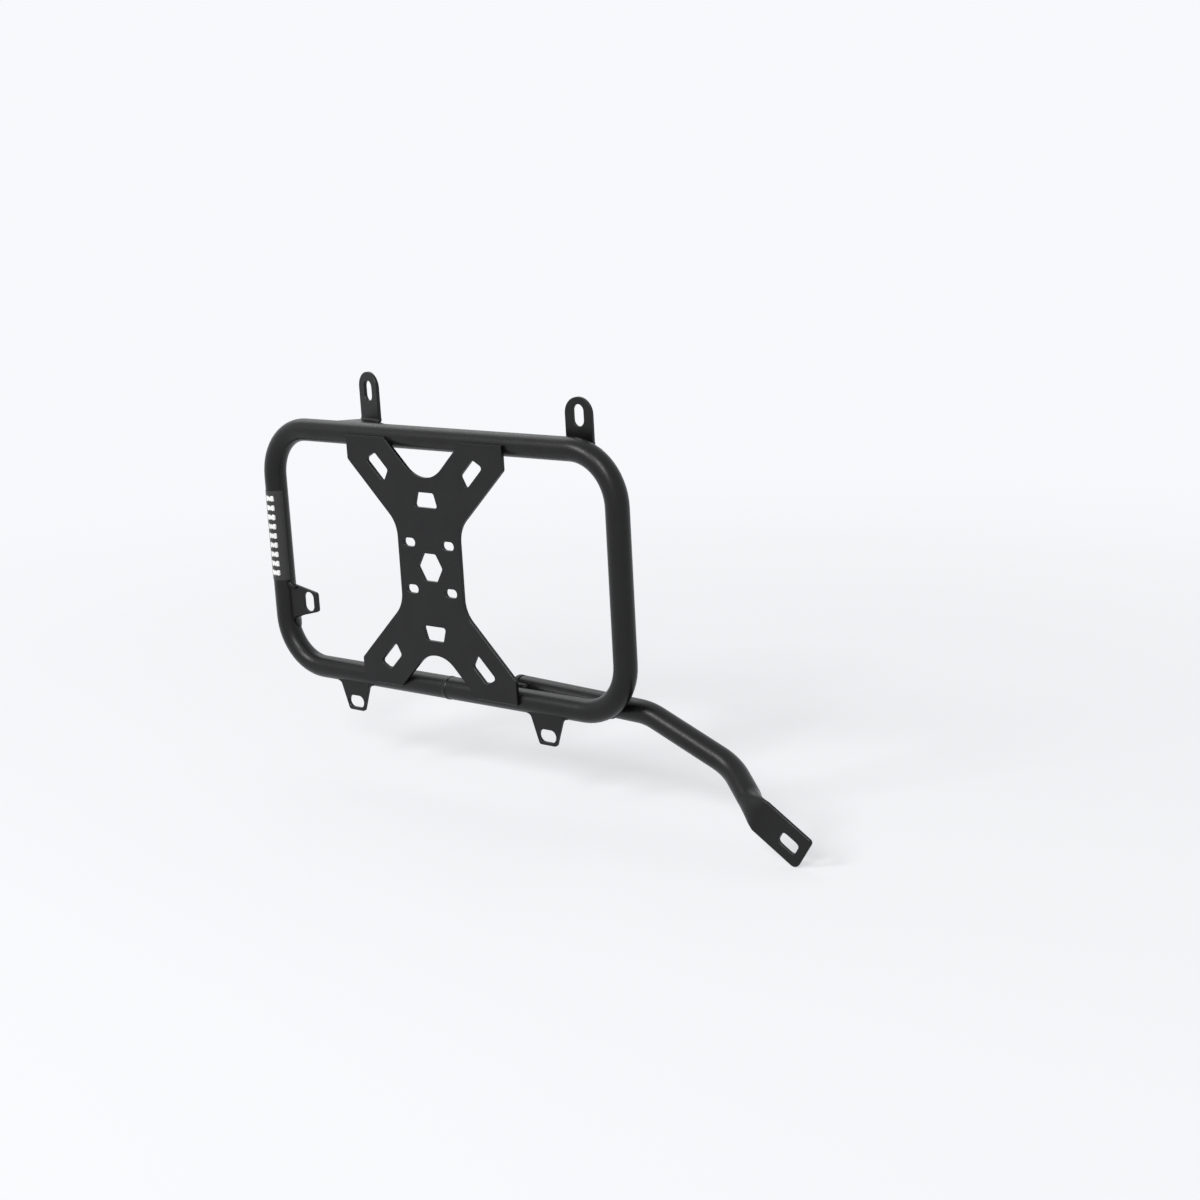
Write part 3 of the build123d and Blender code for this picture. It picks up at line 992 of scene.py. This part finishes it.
    def side_tab_bead(self) -> tuple[Bead, ...]:
        """Bead from the tube out onto the side tab's outer face, along its upper edge.

        Returns:
            A row of this one bead.
        """
        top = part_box("side_tab")[1].z - self.side_drop
        turn = math.radians(self.side_turn)
        axis = Vector((-self.loop.half_w, self.loop.axis_y - self.side_out, top))
        reach = Vector((math.cos(turn), math.sin(turn), 0))
        face = Vector((math.sin(turn), -math.cos(turn), 0))
        spot = axis + reach * self.side_at + face * (self.sheet_t / 2 + self.side_r - self.side_bite)
        along = reach - Vector((0, 0, self.side_fall))
        out = face + Vector((0, 0, self.side_lean))
        return (Bead(tuple(spot), tuple(along), tuple(out), self.side_l, self.side_r),)

    def build(self) -> list[bpy.types.Object]:
        """Builds the rows of beads, the seam ring and the run under the side tab.

        Returns:
            Every weld piece.
        """
        rows = [
            RippledWelds("plate_stitch_beads", "plate_welds", self.plate_stitches(), Ripple.CLOSE),
            RippledWelds("rear_bracket_beads", "rear_bracket_welds", self.rear_beads(), Ripple.WIDE),
            RippledWelds("front_bracket_beads", "front_bracket_welds", self.front_beads(), Ripple.WIDE),
            RippledWelds("arm_groove_beads", "arm_welds", self.arm_beads(), Ripple.WIDE),
            RippledWelds(
                "side_tab_bead", None, self.side_tab_bead(), Ripple.COARSE,
                depth=self.side_depth, end_power=self.side_power,
            ),
        ]
        return [row.build() for row in rows] + [SeamRing(self.loop).build(), RootRun(self.loop).build()]


@dataclass(frozen=True)
class LabelBars:
    """Plain printed bars in a column down the label."""

    loop: TubeLoop
    count: int = 9
    bar_h: float = 4.6 * MM
    margin: float = 4.0 * MM
    turn_from: float = -118.0
    turn_to: float = -62.0
    lift: float = 0.03 * MM
    sink: float = 0.05 * MM
    corner: float = 6.0
    hub: float = 0.01
    columns: int = 48
    rings: int = 5

    def build(self) -> bpy.types.Object:
        """Bars wrapped round the label.

        Each is a rounded rectangle, as the curve |u|^n + |v|^n = 1, carried over to the turn
        about the tube and the height. Its rings grow from a hub to that curve.

        Returns:
            The piece with all the bars.
        """
        low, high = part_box("tube_label")
        radius = self.loop.axis_y - low.y
        pitch = (high.z - low.z - 2 * self.margin - self.bar_h) / (self.count - 1)
        middle = low.z + self.margin + self.bar_h / 2 + pitch * np.arange(self.count)
        turn = full_turn(self.columns)
        u = np.sign(np.cos(turn)) * np.abs(np.cos(turn)) ** (2 / self.corner)
        v = np.sign(np.sin(turn)) * np.abs(np.sin(turn)) ** (2 / self.corner)
        share = np.linspace(self.hub, 1, self.rings)[:, None]
        share = np.concatenate([share, share[::-1]])
        out = np.repeat([radius + self.lift, radius - self.sink], self.rings)[:, None]
        centre = math.radians((self.turn_from + self.turn_to) / 2)
        half = math.radians((self.turn_to - self.turn_from) / 2)
        angle = centre + half * share * u
        height = self.bar_h / 2 * share * v
        x = -self.loop.half_w + out * np.cos(angle)
        y = self.loop.axis_y + out * np.sin(angle)
        shape = np.stack([x, y, height], axis=-1).reshape(-1, 3)
        points = shape[None] + middle[:, None, None] * np.array([0, 0, 1])
        size = len(shape)
        front = np.arange(self.columns)[None, :]
        skin = [closed_rows(2 * self.rings, self.columns)[:, ::-1], front, size - 1 - front]
        faces = [part + n * size for n in range(self.count) for part in skin]
        return solid("label_bars", points.reshape(-1, 3), faces)


# Studio


@dataclass(frozen=True)
class Softbox:
    """Rectangular soft lamp: the way to it from the frame, its sides and its face's brightness."""

    name: str
    direction: tuple[float, float, float]
    width: float
    height: float
    radiance: float

    def build(self, distance: float) -> None:
        """Hangs the lamp so that it faces the middle of the frame.

        Args:
            distance: Way from the middle of the frame to the lamp.
        """
        place = Vector(self.direction).normalized() * distance
        data = bpy.data.lights.new(self.name, "AREA")
        data.shape = "RECTANGLE"
        data.size = self.width
        data.size_y = self.height
        data.energy = math.pi * self.width * self.height * self.radiance
        lamp = bpy.data.objects.new(self.name, data)
        lamp.location = place
        lamp.rotation_euler = (-place).to_track_quat("-Z", "Y").to_euler()
        bpy.context.scene.collection.objects.link(lamp)


@dataclass(frozen=True)
class Studio:
    """Pale floor that runs into the background, soft lamps and the photograph's camera."""

    lamps: tuple[Softbox, ...] = (
        Softbox("left_box", (-0.33, -0.73, 0.60), 1.0, 1.1, 20.0),
        Softbox("right_box", (0.23, -0.76, 0.61), 1.0, 1.1, 20.0),
        Softbox("top_box", (-0.64, 0.33, 0.69), 2.4, 1.9, 1.6),
    )
    pale: tuple = (0.930, 0.944, 0.965)
    floor_tone: tuple = (0.94, 0.953, 0.972)
    floor_r: float = 30.0
    floor_gap: float = 0.5 * MM
    floor_steps: int = 96
    fade_from: float = 0.3
    fade_to: float = 1.5
    near_glow: float = 0.6
    dome: float = 0.32
    lamp_distance: float = 4.0
    camera_at: tuple = (1.08393, -1.14205, 0.33771)
    azimuth: float = 38.800
    elevation: float = 13.275
    roll: float = -3.110
    focal_px: float = 2091.0
    image_px: float = 1200.0
    sensor: float = 36.0

    def floor(self) -> None:
        """Lays a flat disc under the frame's lowest point, as stage."""
        turn = full_turn(self.floor_steps)
        ring = np.stack([np.cos(turn), np.sin(turn), 0 * turn], axis=-1) * self.floor_r
        level = np.array([0, 0, CAD_BOX[0].z - self.floor_gap])
        mesh = bpy.data.meshes.new("floor")
        mesh.from_pydata((ring + level).tolist(), [], [list(range(self.floor_steps))])
        piece = bpy.data.objects.new("floor", mesh)
        bpy.context.scene.collection.objects.link(piece)
        piece.data.materials.append(self.floor_finish())

    def floor_finish(self) -> bpy.types.Material:
        """Pale matt floor that keeps the shadow and fades, where seen, into the background's tone.

        Returns:
            The node material.
        """
        material = bpy.data.materials.new("studio_floor")
        material.use_nodes = True
        tree = material.node_tree
        tree.nodes.clear()
        places = tree.nodes.new("ShaderNodeTexCoord")
        reach = tree.nodes.new("ShaderNodeVectorMath")
        reach.operation = "LENGTH"
        fade = tree.nodes.new("ShaderNodeMapRange")
        fade.interpolation_type = "SMOOTHSTEP"
        fade.inputs["From Min"].default_value = self.fade_from
        fade.inputs["From Max"].default_value = self.fade_to
        fade.inputs["To Min"].default_value = self.near_glow
        share = tree.nodes.new("ShaderNodeMath")
        share.operation = "MULTIPLY"
        matt = tree.nodes.new("ShaderNodeBsdfDiffuse")
        matt.inputs["Color"].default_value = (*self.floor_tone, 1.0)
        glow = tree.nodes.new("ShaderNodeEmission")
        glow.inputs["Color"].default_value = (*self.pale, 1.0)
        mix = tree.nodes.new("ShaderNodeMixShader")
        out = tree.nodes.new("ShaderNodeOutputMaterial")
        tree.links.new(places.outputs["Object"], reach.inputs[0])
        tree.links.new(reach.outputs["Value"], fade.inputs["Value"])
        tree.links.new(fade.outputs["Result"], share.inputs[0])
        tree.links.new(self.seen(tree), share.inputs[1])
        tree.links.new(share.outputs["Value"], mix.inputs["Fac"])
        tree.links.new(matt.outputs["BSDF"], mix.inputs[1])
        tree.links.new(glow.outputs["Emission"], mix.inputs[2])
        tree.links.new(mix.outputs["Shader"], out.inputs["Surface"])
        return material

    @staticmethod
    def seen(tree: bpy.types.NodeTree) -> bpy.types.NodeSocket:
        """Tells what is seen, by itself or in a mirror, from what only gives light.

        Args:
            tree: The node tree that asks.

        Returns:
            A socket that is 1 for camera, glossy and transmission rays, and 0 for the rest.
        """
        path = tree.nodes.new("ShaderNodeLightPath")
        mirrored = tree.nodes.new("ShaderNodeMath")
        mirrored.operation = "MAXIMUM"
        either = tree.nodes.new("ShaderNodeMath")
        either.operation = "MAXIMUM"
        tree.links.new(path.outputs["Is Glossy Ray"], mirrored.inputs[0])
        tree.links.new(path.outputs["Is Transmission Ray"], mirrored.inputs[1])
        tree.links.new(path.outputs["Is Camera Ray"], either.inputs[0])
        tree.links.new(mirrored.outputs["Value"], either.inputs[1])
        return either.outputs["Value"]

    def world(self) -> None:
        """Pale background for what is seen, and a dimmer even dome for light."""
        world = bpy.data.worlds.new("studio")
        bpy.context.scene.world = world
        world.use_nodes = True
        tree = world.node_tree
        tree.nodes.clear()
        light = tree.nodes.new("ShaderNodeBackground")
        light.inputs["Color"].default_value = (1.0, 1.0, 1.0, 1.0)
        light.inputs["Strength"].default_value = self.dome
        shown = tree.nodes.new("ShaderNodeBackground")
        shown.inputs["Color"].default_value = (*self.pale, 1.0)
        mix = tree.nodes.new("ShaderNodeMixShader")
        out = tree.nodes.new("ShaderNodeOutputWorld")
        tree.links.new(self.seen(tree), mix.inputs["Fac"])
        tree.links.new(light.outputs["Background"], mix.inputs[1])
        tree.links.new(shown.outputs["Background"], mix.inputs[2])
        tree.links.new(mix.outputs["Shader"], out.inputs["Surface"])

    def camera(self) -> None:
        """Camera at the photograph's place, with its lens, tilt and roll."""
        side, up = math.radians(self.azimuth), math.radians(self.elevation)
        back = Vector((math.sin(side) * math.cos(up), -math.cos(side) * math.cos(up), math.sin(up)))
        level = Vector((math.cos(side), math.sin(side), 0))
        upright = back.cross(level)
        turn = math.radians(self.roll)
        right = level * math.cos(turn) + upright * math.sin(turn)
        data = bpy.data.cameras.new("photo_camera")
        data.sensor_width = self.sensor
        data.lens = self.focal_px * self.sensor / self.image_px
        camera = bpy.data.objects.new("photo_camera", data)
        camera.matrix_world = Matrix((
            (*right, 0), (*back.cross(right), 0), (*back, 0), (*self.camera_at, 1))).transposed()
        bpy.context.scene.collection.objects.link(camera)
        bpy.context.scene.camera = camera

    def build(self) -> None:
        """Sets up floor, background, lamps and camera."""
        self.floor()
        self.world()
        for lamp in self.lamps:
            lamp.build(self.lamp_distance)
        self.camera()
        bpy.context.scene.view_settings.view_transform = "Standard"


def coat_nodes(finish: bpy.types.Material, nodes: list[str]) -> None:
    """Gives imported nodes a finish.

    Args:
        finish: The node material.
        nodes: Names of the nodes.
    """
    for name in nodes:
        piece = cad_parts[name]
        piece.data.materials.clear()
        piece.data.materials.append(finish)


def main() -> None:
    """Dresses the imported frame, adds the welds and the label's bars, and sets up the studio."""
    logging.basicConfig(level=logging.INFO)
    loop = TubeLoop.from_frame()
    coat = PowderCoat().material()
    arm = PressedArm(loop)
    for piece in [arm.build(), *FrameWelds(loop, arm).build()]:
        piece.data.materials.append(coat)
        log.info("coated piece %s: %d faces", piece.name, len(piece.data.polygons))
    other = {"arm_end_cap", "tube_label"}
    coat_nodes(coat, [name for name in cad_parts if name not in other])
    coat_nodes(PlugPlastic().material(), ["arm_end_cap"])
    coat_nodes(LABEL_FILM.material(), ["tube_label"])
    bars = LabelBars(loop).build()
    bars.data.materials.append(LABEL_PRINT.material())
    log.info("label bars: %d faces", len(bars.data.polygons))
    Studio().build()


if __name__ == "__main__":
    main()
